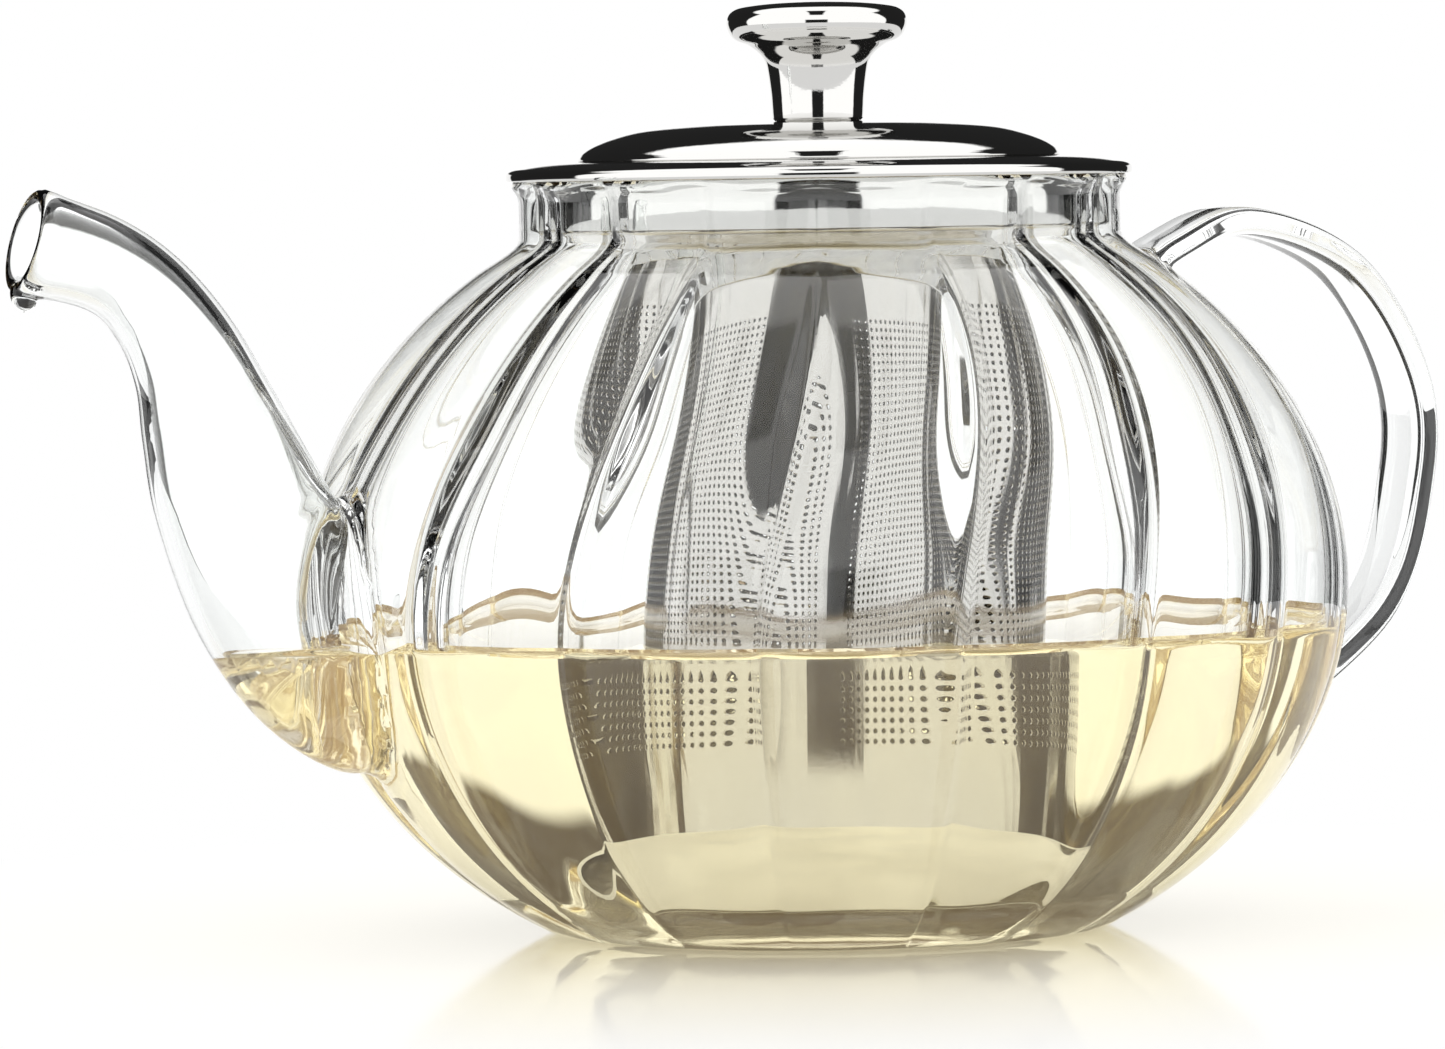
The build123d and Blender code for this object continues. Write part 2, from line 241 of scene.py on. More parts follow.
def wall_radius(z, inset):
    if z <= SHOULDER_Z:
        return ellipse_radius(z, inset)
    if z <= NECK_START_Z:
        return neck_blend(z, inset)
    flare = MOUTH_FLARE * smooth_step(MOUTH_Z - 0.004, MOUTH_Z, z)
    return NECK_RADIUS - inset + flare


def groove_phase(z):
    """The grooves lean round the bowl between the waist and the neck."""
    return RIB_TWIST * (smooth_step(WIDEST_Z - 0.010, 0.1015, z) - 1)


def groove_depth(z):
    rising = 0.3 + 0.7 * smooth_step(0, 0.030, z)
    fading = 1 - GROOVE_FADE * smooth_step(WIDEST_Z + 0.020, MOUTH_Z, z)
    return GROOVE_DEPTH * rising * fading


def rib_depth(z):
    """The rib inside each groove, fullest under the shoulder."""
    fuller = 1 + RIB_SWELL * smooth_step(0.058, 0.080, z) * (1 - smooth_step(0.096, 0.107, z))
    return groove_depth(z) * RIB_SHARE * fuller


def lobed_ring(radius, z, depth, bulge=0.0, soft=GROOVE_ROUND, power=GROOVE_POWER):
    """One horizontal section, with points closer together near the grooves.

    Each lobe is an arc between two grooves; bulge swells its crest.
    """
    ring = []
    for lobe in range(LOBES):
        for k in range(2 * HALF_LOBE_POINTS):
            t = k / HALF_LOBE_POINTS
            near = t if t < 1 else 2 - t
            u = near ** 1.7  # 0 at a groove, 1 at the crest
            share = u if t < 1 else 2 - u
            a = 2 * math.pi * (lobe + share / 2) / LOBES + groove_phase(z)
            rounded = (math.sqrt(u * u + soft * soft) - soft) / (math.sqrt(1 + soft * soft) - soft)
            r = radius - depth * (1 - rounded) ** power + bulge * math.sin(math.pi * u / 2) ** 2
            ring.append((r * math.cos(a), r * math.sin(a), z))
    return ring


def inner_ring(radius, z, depth):
    """A section of the hollow, whose lobes meet in ribs."""
    return lobed_ring(radius, z, depth, soft=RIB_ROUND, power=RIB_POWER)


def wall_heights(low, high, inset, count):
    """Heights spaced evenly along the ellipse, then up the neck."""
    rise, drop = BOWL_RISE - inset, BOWL_DROP - inset
    t_low = math.asin(max(-1, (low - WIDEST_Z) / drop))
    t_high = math.asin((SHOULDER_Z - WIDEST_Z) / rise)
    heights = []
    for i in range(count):
        t = t_low + (t_high - t_low) * i / count
        heights.append(WIDEST_Z + (rise if t > 0 else drop) * math.sin(t))
    neck_steps = 18
    heights += [SHOULDER_Z + (high - SHOULDER_Z) * i / neck_steps for i in range(neck_steps + 1)]
    return heights


def bowl_outside():
    """The outside, from the slightly hollow foot to the rounded bead at the mouth."""
    rings = []
    for r, z in [(0.006, 0.0009), (0.020, 0.0008), (0.034, 0.0005), (0.0385, 0.0002), (0.0402, 0.0)]:
        rings.append(lobed_ring(r, z, groove_depth(0) * r / 0.045))
    rings.append(lobed_ring(0.0414, 0.0001, groove_depth(0)))
    for z in wall_heights(0.0006, MOUTH_Z - 0.0016, 0.0, 64):
        lump = 0.0007 * math.exp(-((z - MOUTH_Z + 0.0012) / 0.0013) ** 2)
        rings.append(lobed_ring(wall_radius(z, 0.0), z, groove_depth(z), bulge=lump))
    top = wall_radius(MOUTH_Z, 0.0)
    for back, down in [(0.0000, 0.0011), (0.0002, 0.0006), (0.0005, 0.0002), (0.0009, 0.0)]:
        rings.append(lobed_ring(top - back, MOUTH_Z - down, groove_depth(MOUTH_Z)))
    return skin("bowl_outside", rings)


def floor_rings(floor, grow):
    """The inside floor, almost flat, and the round up from it to the wall."""
    rings = []
    for r, lift in [(0.006, 0.0003), (0.018, 0.0002), (0.030, 0.0), (0.0370, 0.0)]:
        rings.append(lobed_ring(r, floor + lift, 0.0))
    for r, lift, share in [(0.0405, 0.0001, 0.3), (0.0435, 0.0005, 0.6), (0.0461, 0.0012, 0.9)]:
        rings.append(inner_ring(r + grow, floor + lift, rib_depth(0) * share))
    return rings


def hollow_rings(heights, grow):
    """The floor and wall of the hollow. grow swells it into the glass."""
    rings = floor_rings(FLOOR_THICKNESS - grow, grow)
    return rings + [inner_ring(wall_radius(z, WALL) + grow, z, rib_depth(z)) for z in heights]


def bowl_inside():
    """The hollow of the bowl, rounded over at the mouth and open above it."""
    rings = hollow_rings(wall_heights(WALL_START_Z, MOUTH_Z - 0.0012, WALL, 60), 0.0)
    mouth = wall_radius(MOUTH_Z, WALL)
    for out, up in [(0.0001, -0.0006), (0.0004, -0.0002), (0.0009, 0.0001), (0.0012, 0.0020)]:
        rings.append(inner_ring(mouth + out, MOUTH_Z + up, rib_depth(MOUTH_Z)))
    return skin("bowl_inside", rings)


# ---- spout and handle -------------------------------------------------------------
def spout_sections(steps=7):
    """Middle, across, half height and half width of each oval section, mouth to bowl."""
    flat = [(*upper, *lower, half) for upper, lower, half in SPOUT_STATIONS]
    sections = []
    for ux, uz, lx, lz, half in curve_through(flat, steps):
        middle = Vector(((ux + lx) / 2, 0, (uz + lz) / 2))
        across = Vector((ux - lx, 0, uz - lz))
        sections.append((middle, across.normalized(), across.length / 2, half))
    return sections


def oval(middle, across, half_height, half_width, count=72):
    ring = []
    for k in range(count):
        a = 2 * math.pi * k / count
        side = Vector((0, half_width * math.sin(a), 0))
        ring.append(middle + across * half_height * math.cos(a) + side)
    return ring


def spout_outside():
    """The outside of the tube, and the direction that it faces at the mouth."""
    sections = spout_sections()
    middle, across, half_height, half_width = sections[0]
    outward = across.cross(Vector((0, 1, 0)))
    if outward.x > 0:
        outward.negate()
    rings = []
    # the rounded end of the rim, then a slightly swollen ring behind it
    for back, shrink in [(0.0000, 0.0008), (0.0001, 0.00045), (0.0004, 0.0001), (0.0008, 0.0)]:
        rings.append(oval(middle - outward * back, across, half_height - shrink, half_width - shrink))
    for index, (middle, across, half_height, half_width) in enumerate(sections[1:], 1):
        swell = 0.0003 * math.exp(-((index - 1.5) / 1.2) ** 2)
        rings.append(oval(middle, across, half_height + swell, half_width + swell))
    return skin("spout_outside", rings), outward


def spout_inside(outward, shrink=SPOUT_WALL):
    """The hollow of the tube, open beyond its mouth and into the bowl."""
    sections = spout_sections()
    middle, across, half_height, half_width = sections[0]
    rings = []
    for out, grow in [(0.0030, 0.0010), (0.0, 0.0008), (-0.0001, 0.00045), (-0.0005, 0.0001)]:
        rings.append(oval(middle + outward * out, across,
                          half_height - shrink + grow, half_width - shrink + grow))
    for middle, across, half_height, half_width in sections[1:]:
        rings.append(oval(middle, across, half_height - shrink, half_width - shrink))
    return skin("spout_inside", rings)


def drip_lip():
    """The drop of glass drawn down under the spout's rim."""
    low = Vector((SPOUT_STATIONS[0][1][0], 0, SPOUT_STATIONS[0][1][1]))
    rings = []
    steps, around = 14, 28
    for i in range(steps + 1):
        t = i / steps
        z = low.z + 0.0012 - 0.0042 * t
        r = 0.0021 * math.sqrt(max(0.0, 1 - t ** 3.2)) * (0.86 + 0.14 * math.sin(math.pi * t))
        r = max(r, 2e-5)
        centre = Vector((low.x + 0.0018 + 0.0004 * t, 0, z))
        turns = [2 * math.pi * k / around for k in range(around)]
        rings.append([centre + Vector((r * math.cos(a), r * math.sin(a), 0)) for a in turns])
    return skin("drip_lip", rings)


def handle_ribbon():
    """The flat glass ribbon, with rounded edges."""
    path = curve_through(HANDLE_PATH, 16)
    rings = []
    half_w, half_t = HANDLE_WIDTH / 2, HANDLE_THICKNESS / 2
    across, through = HANDLE_ROUNDING
    around = 56
    for i, (x, z) in enumerate(path):
        before, after = path[max(0, i - 1)], path[min(len(path) - 1, i + 1)]
        along = Vector((after[0] - before[0], 0, after[1] - before[1])).normalized()
        normal = Vector((-along.z, 0, along.x))
        ring = []
        for k in range(around):
            a = 2 * math.pi * k / around
            c, s = math.cos(a), math.sin(a)
            u = half_w * math.copysign(abs(c) ** across, c)
            v = half_t * math.copysign(abs(s) ** through, s)
            ring.append(Vector((x, 0, z)) + Vector((0, u, 0)) + normal * v)
        rings.append(ring)
    return skin("handle_ribbon", rings)


def weld(glass, other, seam):
    """Fuses another solid to the glass and notes the points where their surfaces meet."""
    def key(co):
        return tuple(round(c, 7) for c in co)

    known = {key(v.co) for obj in (glass, other) for v in obj.data.vertices}
    combine(glass, other, "UNION")
    seam += [v.co.copy() for v in glass.data.vertices if key(v.co) not in known]


def melt(obj, seam, reach=0.0045, rounds=24):
    """Rounds the glass along fused seams: points near one are relaxed towards their neighbours."""
    tree = kdtree.KDTree(len(seam))
    for i, co in enumerate(seam):
        tree.insert(co, i)
    tree.balance()
    bm = bmesh.new()
    bm.from_mesh(obj.data)
    near = []
    for v in bm.verts:
        distance = tree.find(v.co)[2]
        if distance < reach:
            near.append((v, 0.5 * (1 - smooth_step(0.2 * reach, reach, distance))))
    for _ in range(rounds):
        moves = []
        for v, weight in near:
            others = [e.other_vert(v).co for e in v.link_edges]
            moves.append(v.co.lerp(sum(others, Vector()) / len(others), weight))
        for (v, _), co in zip(near, moves):
            v.co = co
    bm.to_mesh(obj.data)
    bm.free()


def slab(low, high):
    """A closed box between two corners, used only to cut with."""
    (x0, y0, z0), (x1, y1, z1) = low, high
    return skin("slab", [
        [(x0, y0, z0), (x1, y0, z0), (x1, y1, z0), (x0, y1, z0)],
        [(x0, y0, z1), (x1, y0, z1), (x1, y1, z1), (x0, y1, z1)],
    ])


def make_glass():
    """Bowl, spout and handle as one fused piece of glass with the hollow cut out of it."""
    glass = bowl_outside()
    tube, outward = spout_outside()
    seam = []
    for other in (tube, handle_ribbon()):
        weld(glass, other, seam)
    melt(glass, seam)
    drop_seam = []
    weld(glass, drip_lip(), drop_seam)
    melt(glass, drop_seam, reach=0.0013, rounds=6)
    combine(glass, bowl_inside(), "DIFFERENCE")
    combine(glass, spout_inside(outward), "DIFFERENCE")
    glass.name = "fused_glass"
    return glass, outward


def make_tea(outward):
    """The tea, its skin just inside the wetted glass, with a small meniscus round its edge."""
    flat = TEA_LEVEL - MENISCUS_DROP
    heights = wall_heights(WALL_START_Z, SHOULDER_Z, WALL, 60)
    rings = hollow_rings([z for z in heights if z < flat - 0.0004] + [flat], TEA_OVERLAP)
    edge = wall_radius(flat, WALL) + TEA_OVERLAP
    for inward, rise in MENISCUS:
        ring = []
        for x, y, z in inner_ring(edge - inward, flat, rib_depth(flat)):
            away = abs(math.degrees(math.atan2(y, -x)))
            lift = rise * smooth_step(*MENISCUS_GAP, away)
            # a micrometre or so keeps the rings apart where there is no meniscus
            ring.append((x, y, z + lift + 1e-6 * (len(rings) % 7)))
        rings.append(ring)
    for r in (0.060, 0.045, 0.030, 0.015):
        rings.append(lobed_ring(r, flat, 0.0))
    tea = skin("tea", rings)
    column = spout_inside(outward, SPOUT_WALL - TEA_OVERLAP)
    combine(column, slab((-0.2, -0.1, -0.01), (-0.05, 0.1, flat)), "INTERSECT")
    combine(tea, column, "UNION")
    tea.name = "tea"
    return tea


# ---- steel ------------------------------------------------------------------------
def round_sheet(line, thickness):
    """Closed profile of a bent sheet: its outer line, and the same line one thickness inside."""
    inner = []
    for i, (r, z) in enumerate(line):
        a, b = line[max(0, i - 1)], line[min(len(line) - 1, i + 1)]
        along = Vector((b[0] - a[0], b[1] - a[1])).normalized()
        inner.append((max(0.0, r + along.y * thickness), z - along.x * thickness))
    ends = []
    for (r0, z0), (r1, z1) in ((line[-1], inner[-1]), (inner[0], line[0])):
        a, b = Vector((r0, z0)), Vector((r1, z1))
        out = (b - a).orthogonal().normalized() * thickness * 0.35
        if ends:
            toward = Vector(line[0]) - Vector(line[1])
        else:
            toward = Vector(line[-1]) - Vector(line[-2])
        if out.dot(toward) < 0:
            out.negate()
        ends.append([tuple(a.lerp(b, 0.2) + out * 0.8), tuple(a.lerp(b, 0.5) + out),
                     tuple(a.lerp(b, 0.8) + out * 0.8)])
    return line + ends[0] + inner[::-1] + ends[1]


def arc_line(points, steps):
    return [tuple(p) for p in curve_through(points, steps)]


def make_brim():
    """The ring on the glass mouth, with a short lip turned down at its edge."""
    line = []
    steps = 25
    for i in range(steps + 1):
        r = BRIM_OPENING_RADIUS + (BRIM_RADIUS - BRIM_LIP - BRIM_OPENING_RADIUS) * i / steps
        out = max(0.0, r - BRIM_BEND_RADIUS) / (BRIM_RADIUS - BRIM_BEND_RADIUS)
        line.append((r, BRIM_TOP_Z - BRIM_SAG * out ** 2))
    for inward, down in [(0.0004, 0.00130), (0.0001, 0.00155), (0.0, 0.0019), (0.0, 0.0026)]:
        line.append((BRIM_RADIUS - inward, BRIM_TOP_Z - down))
    return lathe("brim", round_sheet(line, SHEET))


def make_collar():
    """The cylinder in the neck, and the step in from its foot to the basket."""
    foot = COLLAR_FOOT_Z
    line = [
        (COLLAR_RADIUS, BRIM_TOP_Z - SHEET - 0.0002),
        (COLLAR_RADIUS, foot + 0.0060),
        (COLLAR_RADIUS, foot + 0.0009),
        (COLLAR_RADIUS - 0.0002, foot + 0.0004),
        (COLLAR_RADIUS - 0.0006, foot + 0.0001),
        (COLLAR_RADIUS - 0.0012, foot),
        (0.0370, foot - 0.0014),
        (0.0325, foot - 0.0027),
        (0.0310, foot - 0.0032),
        (0.0303, foot - 0.0038),
        (0.0300, foot - 0.0048),
        (0.0300, foot - 0.0070),
    ]
    return lathe("collar", round_sheet(line[::-1], -SHEET))


def make_dome():
    """The lid, almost flat at the top, its edge turned down to the brim."""
    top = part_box("lid_dome")[1][2]
    line = arc_line([
        (0.0003, top),
        (0.0085, top - 0.0001),
        (0.0175, top - 0.00035),
        (0.0228, top - 0.0007),
        (0.0275, top - 0.0013),
        (0.0313, top - 0.0023),
        (0.0341, top - 0.0034),
        (0.0357, top - 0.0044),
        (0.0363, top - 0.0051),
        (0.0365, BRIM_TOP_Z + 0.0003),
    ], 5)
    return lathe("dome", round_sheet(line[::-1], -SHEET))


def make_knob():
    """The knob: a waisted stem under a broad, gently crowned head."""
    low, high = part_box("knob")
    seat, top = low[2] - 0.0001, high[2]
    side = [
        (0.0064, seat),
        (0.0068, seat + 0.0004),
        (0.0069, seat + 0.0009),
        (0.0071, seat + 0.0040),
        (0.0075, seat + 0.0072),
        (0.0079, seat + 0.0090),
        (0.0088, seat + 0.0103),
        (0.0103, seat + 0.0114),
        (0.0122, seat + 0.0122),
        (0.0132, seat + 0.0132),
        (0.0137, seat + 0.0148),
        (0.0134, seat + 0.0160),
        (0.0126, seat + 0.0168),
        (0.0112, seat + 0.0173),
        (0.0080, top - 0.00035),
        (0.0040, top - 0.0001),
        (0.0, top),
    ]
    line = arc_line(side, 6)
    return lathe("knob_turned", line + [(0.0, seat)])


def make_basket():
    """Four curved perforated panels and a plain seam strip, each a closed sheet with real holes."""
    width = SEAM_WIDTH / BASKET_RADIUS
    sweep = (2 * math.pi - width) / PANELS
    columns = round(sweep * BASKET_RADIUS / HOLE_PITCH[0])
    rows = round((HOLES_HIGH_Z - HOLES_LOW_Z) / HOLE_PITCH[1])
    heights = [BASKET_LOW_Z, BASKET_LOW_Z + PLAIN_EDGE, HOLES_LOW_Z - PLAIN_EDGE, HOLES_LOW_Z]
    first = len(heights) - 1
    heights += [HOLES_LOW_Z + (HOLES_HIGH_Z - HOLES_LOW_Z) * (j + 1) / rows for j in range(rows)]
    heights += [HOLES_HIGH_Z + PLAIN_EDGE, BASKET_HIGH_Z]
    pieces = []
    for p in range(PANELS):
        start = SEAM_ANGLE + width / 2 + sweep * p
        name = f"basket_panel_{p + 1}"
        pieces.append(perforated(name, start, sweep, columns, heights, first, first + rows))
    pieces.append(perforated("basket_seam", SEAM_ANGLE - width / 2, width, 7, heights, 0, 0))
    return pieces


def perforated(name, start, sweep, columns, heights, first_row, last_row):
    """A closed curved sheet. Cells in the rows from first_row up to last_row have a round hole.

    Layer 0 is the outside of the sheet and layer 1 the inside. A cell shares its corners with its
    neighbours, and a holed cell also shares the middles of its sides. Outside, each hole's edge is
    bevelled.
    """
    verts, faces = [], []
    index = {}

    def point(key, angle, z, layer):
        if (key, layer) not in index:
            r = BASKET_RADIUS - layer * BASKET_SHEET
            index[(key, layer)] = len(verts)
            verts.append((r * math.cos(angle), r * math.sin(angle), z))
        return index[(key, layer)]

    def face(keys, flip):
        faces.append(tuple(keys[::-1] if flip else keys))

    step = sweep / columns
    for i in range(columns):
        a0, a1 = start + i * step, start + (i + 1) * step
        for j in range(len(heights) - 1):
            z0, z1 = heights[j], heights[j + 1]
            holed = first_row <= j < last_row
            near_hole_below = first_row <= j - 1 < last_row
            near_hole_above = first_row <= j + 1 < last_row
            am, zm = (a0 + a1) / 2, (z0 + z1) / 2
            hole = {}
            for layer in (0, 1):
                rim = [point((2 * i, 2 * j), a0, z0, layer)]
                if holed or near_hole_below:
                    rim.append(point((2 * i + 1, 2 * j), am, z0, layer))
                rim.append(point((2 * i + 2, 2 * j), a1, z0, layer))
                if holed:
                    rim.append(point((2 * i + 2, 2 * j + 1), a1, zm, layer))
                rim.append(point((2 * i + 2, 2 * j + 2), a1, z1, layer))
                if holed or near_hole_above:
                    rim.append(point((2 * i + 1, 2 * j + 2), am, z1, layer))
                rim.append(point((2 * i, 2 * j + 2), a0, z1, layer))
                if holed:
                    rim.append(point((2 * i, 2 * j + 1), a0, zm, layer))
                if not holed:
                    face(rim, layer == 1)
                    continue
                circles = [(HOLE_RADIUS, 1)]
                if layer == 0:
                    circles = [(RIM_RADIUS, 0), (HOLE_RADIUS, RIM_DROP / BASKET_SHEET)]
                for radius, depth in circles:
                    ring = []
                    for k in range(8):
                        t = math.radians(-135 + 45 * k)
                        angle = am + radius * math.cos(t) / BASKET_RADIUS
                        ring.append(point((radius, i, j, k), angle, zm + radius * math.sin(t), depth))
                    for k in range(8):
                        n = (k + 1) % 8
                        face([rim[k], rim[n], ring[n], ring[k]], layer == 1)
                    rim = ring
                hole[layer] = rim
            if holed:
                for k in range(8):
                    n = (k + 1) % 8
                    face([hole[0][k], hole[0][n], hole[1][n], hole[1][k]], False)
    obj = new_object(name, verts, faces)
    bm = bmesh.new()
    bm.from_mesh(obj.data)
    open_edges = [e for e in bm.edges if e.is_boundary]
    close_border(bm, open_edges)
    bmesh.ops.recalc_face_normals(bm, faces=bm.faces)
    bm.to_mesh(obj.data)
    bm.free()
    obj.data.shade_flat()
    return obj


def close_border(bm, edges):
    """Joins the outer sheet's border to the inner sheet's, point by point."""
    def place(v):
        return (round(math.atan2(v.co.y, v.co.x), 5), round(v.co.z, 6))

    def is_outer(v):
        return math.hypot(v.co.x, v.co.y) > BASKET_RADIUS - BASKET_SHEET / 2

    inner = {place(v): v for e in edges for v in e.verts if not is_outer(v)}
    for e in edges:
        a, b = e.verts
        if is_outer(a) and place(a) in inner and place(b) in inner:
            bm.faces.new((a, b, inner[place(b)], inner[place(a)]))


# ---- materials ----------------------------------------------------------------------
def node_material(name):
    material = bpy.data.materials.new(name)
    material.use_nodes = True
    tree = material.node_tree
    shader = tree.nodes["Principled BSDF"]
    return material, tree, shader


def noise(tree, scale, detail=3.0, stretch=(1, 1, 1)):
    """Noise in the object's own space."""
    place = tree.nodes.new("ShaderNodeTexCoord")
    mapping = tree.nodes.new("ShaderNodeMapping")
    mapping.inputs["Scale"].default_value = stretch
    texture = tree.nodes.new("ShaderNodeTexNoise")
    texture.inputs["Scale"].default_value = scale
    texture.inputs["Detail"].default_value = detail
    tree.links.new(place.outputs["Object"], mapping.inputs["Vector"])
    tree.links.new(mapping.outputs["Vector"], texture.inputs["Vector"])
    return texture.outputs["Fac"]


def remap(tree, value, low, high, from_low=0.35, from_high=0.65):
    """Spreads a value, by default a noise's middle range, from low to high."""
    node = tree.nodes.new("ShaderNodeMapRange")
    node.inputs["From Min"].default_value = from_low
    node.inputs["From Max"].default_value = from_high
    node.inputs["To Min"].default_value = low
    node.inputs["To Max"].default_value = high
    tree.links.new(value, node.inputs["Value"])
    return node.outputs["Result"]


def math_node(tree, kind, *values):
    """A maths node on numbers or sockets."""
    node = tree.nodes.new("ShaderNodeMath")
    node.operation = kind
    for socket, value in zip(node.inputs, values):
        if isinstance(value, (int, float)):
            socket.default_value = value
        else:
            tree.links.new(value, socket)
    return node.outputs[0]


def band(tree, value, low, high, soft):
    """1 between low and high, with soft edges."""
    edges = []
    for edge, before, after in ((low, 0.0, 1.0), (high, 1.0, 0.0)):
        node = tree.nodes.new("ShaderNodeMapRange")
        node.interpolation_type = "SMOOTHSTEP"
        node.inputs["From Min"].default_value = edge - soft
        node.inputs["From Max"].default_value = edge + soft
        node.inputs["To Min"].default_value = before
        node.inputs["To Max"].default_value = after
        tree.links.new(value, node.inputs["Value"])
        edges.append(node.outputs[0])
    return math_node(tree, "MULTIPLY", *edges)


def bump(tree, shader, height, distance, strength=1.0):
    node = tree.nodes.new("ShaderNodeBump")
    node.inputs["Distance"].default_value = distance
    node.inputs["Strength"].default_value = strength
    tree.links.new(height, node.inputs["Height"])
    tree.links.new(node.outputs["Normal"], shader.inputs["Normal"])


def glass_material(name, specular):
    material, tree, shader = node_material(name)
    shader.inputs["Base Color"].default_value = (0.985, 0.995, 0.99, 1)
    shader.inputs["Transmission Weight"].default_value = 1.0
    shader.inputs["IOR"].default_value = 1.47
    shader.inputs["Specular IOR Level"].default_value = specular
    shader.inputs["Roughness"].default_value = 0.0
    bump(tree, shader, noise(tree, 38, 1.0, (1, 1, 0.6)), 0.00035, 0.12)
    return material


def tea_material():
    material, tree, shader = node_material("brewed_tea")
    shader.inputs["Base Color"].default_value = (1, 1, 1, 1)
    shader.inputs["Transmission Weight"].default_value = 1.0
    shader.inputs["IOR"].default_value = 1.33
    shader.inputs["Specular IOR Level"].default_value = 0.1
    # Painted light: a faint warm orange glow on the tea, which is no lamp, lifts its dark zones from
    # grey to brown.
    shader.inputs["Emission Color"].default_value = (1.0, 0.60, 0.20, 1)
    shader.inputs["Emission Strength"].default_value = 0.034
    shader.inputs["Roughness"].default_value = 0.0
    bump(tree, shader, noise(tree, 40, 1.0), 0.0004, 0.1)
    absorb = tree.nodes.new("ShaderNodeVolumeAbsorption")
    absorb.inputs["Color"].default_value = (0.98, 0.944, 0.76, 1)
    absorb.inputs["Density"].default_value = 16.0
    output = tree.nodes["Material Output"]
    tree.links.new(absorb.outputs["Volume"], output.inputs["Volume"])
    return material


def steel_material(name, colour, low, high, grain, depth, stretch=(1, 1, 1)):
    material, tree, shader = node_material(name)
    shader.inputs["Metallic"].default_value = 1.0
    shader.inputs["Base Color"].default_value = (*colour, 1)
    rough = remap(tree, noise(tree, 90, 4.0), low, high)
    tree.links.new(rough, shader.inputs["Roughness"])
    bump(tree, shader, noise(tree, grain, 3.0, stretch), depth, 0.3)
    return material


# ---- build --------------------------------------------------------------------------
glass, spout_outward = make_glass()
tea = make_tea(spout_outward)
polished = steel_material("polished_steel", (0.66, 0.655, 0.64), 0.02, 0.07, 900, 0.00002)
plain = steel_material("plain_steel", (0.62, 0.60, 0.57), 0.16, 0.26, 1400, 0.00002)
sieve = steel_material("perforated_steel", (0.50, 0.488, 0.465), 0.06, 0.11, 1600, 0.00001)

PIECES = [
    (glass, "pot", glass_material("blown_clear_glass", 0.5), "clear_glass", GLASS_NODES),
    (make_brim(), "infuser", polished, "polished_steel", ["infuser_brim"]),
    (make_collar(), "infuser", polished, "polished_steel", ["infuser_collar"]),
    (make_dome(), "lid", polished, "polished_steel", ["lid_dome"]),
    (make_knob(), "lid", polished, "polished_steel", ["knob"]),
]
PIECES += [(p, "infuser", sieve, "perforated_steel", ["infuser_basket"]) for p in make_basket()]
for piece, body, material, slot, nodes in PIECES:
    piece.data.materials.clear()
    piece.data.materials.append(material)
    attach(piece, body)
    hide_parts(*nodes)
glass.data.materials.append(glass_material("wetted_glass", 0.05))
for face in glass.data.polygons:
    spot, normal = face.center, face.normal
    faces_in = spot.x * normal.x + spot.y * normal.y < 0
    wet_wall = spot.z < TEA_LEVEL and faces_in and math.hypot(spot.x, spot.y) > BASKET_RADIUS
    wet_floor = spot.z < FLOOR_THICKNESS + 0.001 and normal.z > 0.3
    if wet_wall or wet_floor:
        face.material_index = 1
tea.data.materials.clear()
tea.data.materials.append(tea_material())
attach(tea, "pot")
for node in ("infuser_bottom", "lid_skirt", "knob_screw"):
    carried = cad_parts[node]
    for carried_slot in carried.material_slots:
        carried_slot.material = plain


# ---- studio -------------------------------------------------------------------------
CAMERA_AZIMUTH = -22.0
CAMERA_DISTANCE = 1.30
CAMERA_HEIGHT = 0.118
AIM_HEIGHT = 0.0614
AIM_LEFT = 0.0154
CAMERA_ROLL = math.radians(-0.9)

PANEL_DISTANCE = 0.58
PANEL_HALF_WIDTH = 0.32
PANEL_HEIGHT = 0.205
PANEL_STRENGTH = 1.12
PANEL_SOFT = 0.012

FLOOR_RADIUS = 0.62
FLOOR_SIDES = 96
PAINTED_WARMTH_START, PAINTED_WARMTH_END = 0.05, 0.20  # the painted warm light on the floor round the pot fades out between these distances

# degrees from the camera's side, and above the horizon
BOXES_TURN, BOXES_HEIGHT = (14, 100), (-30, 60)
FILL_TURN, FILL_HEIGHT = (-1, 16), (12, 50)
CEILING_HEIGHT = 44
CEILING_GAP = 0.12  # half width, as a share of the sky, of the dark strip in front
WHITE_LEVEL, DARK_LEVEL = 1.5, 0.02


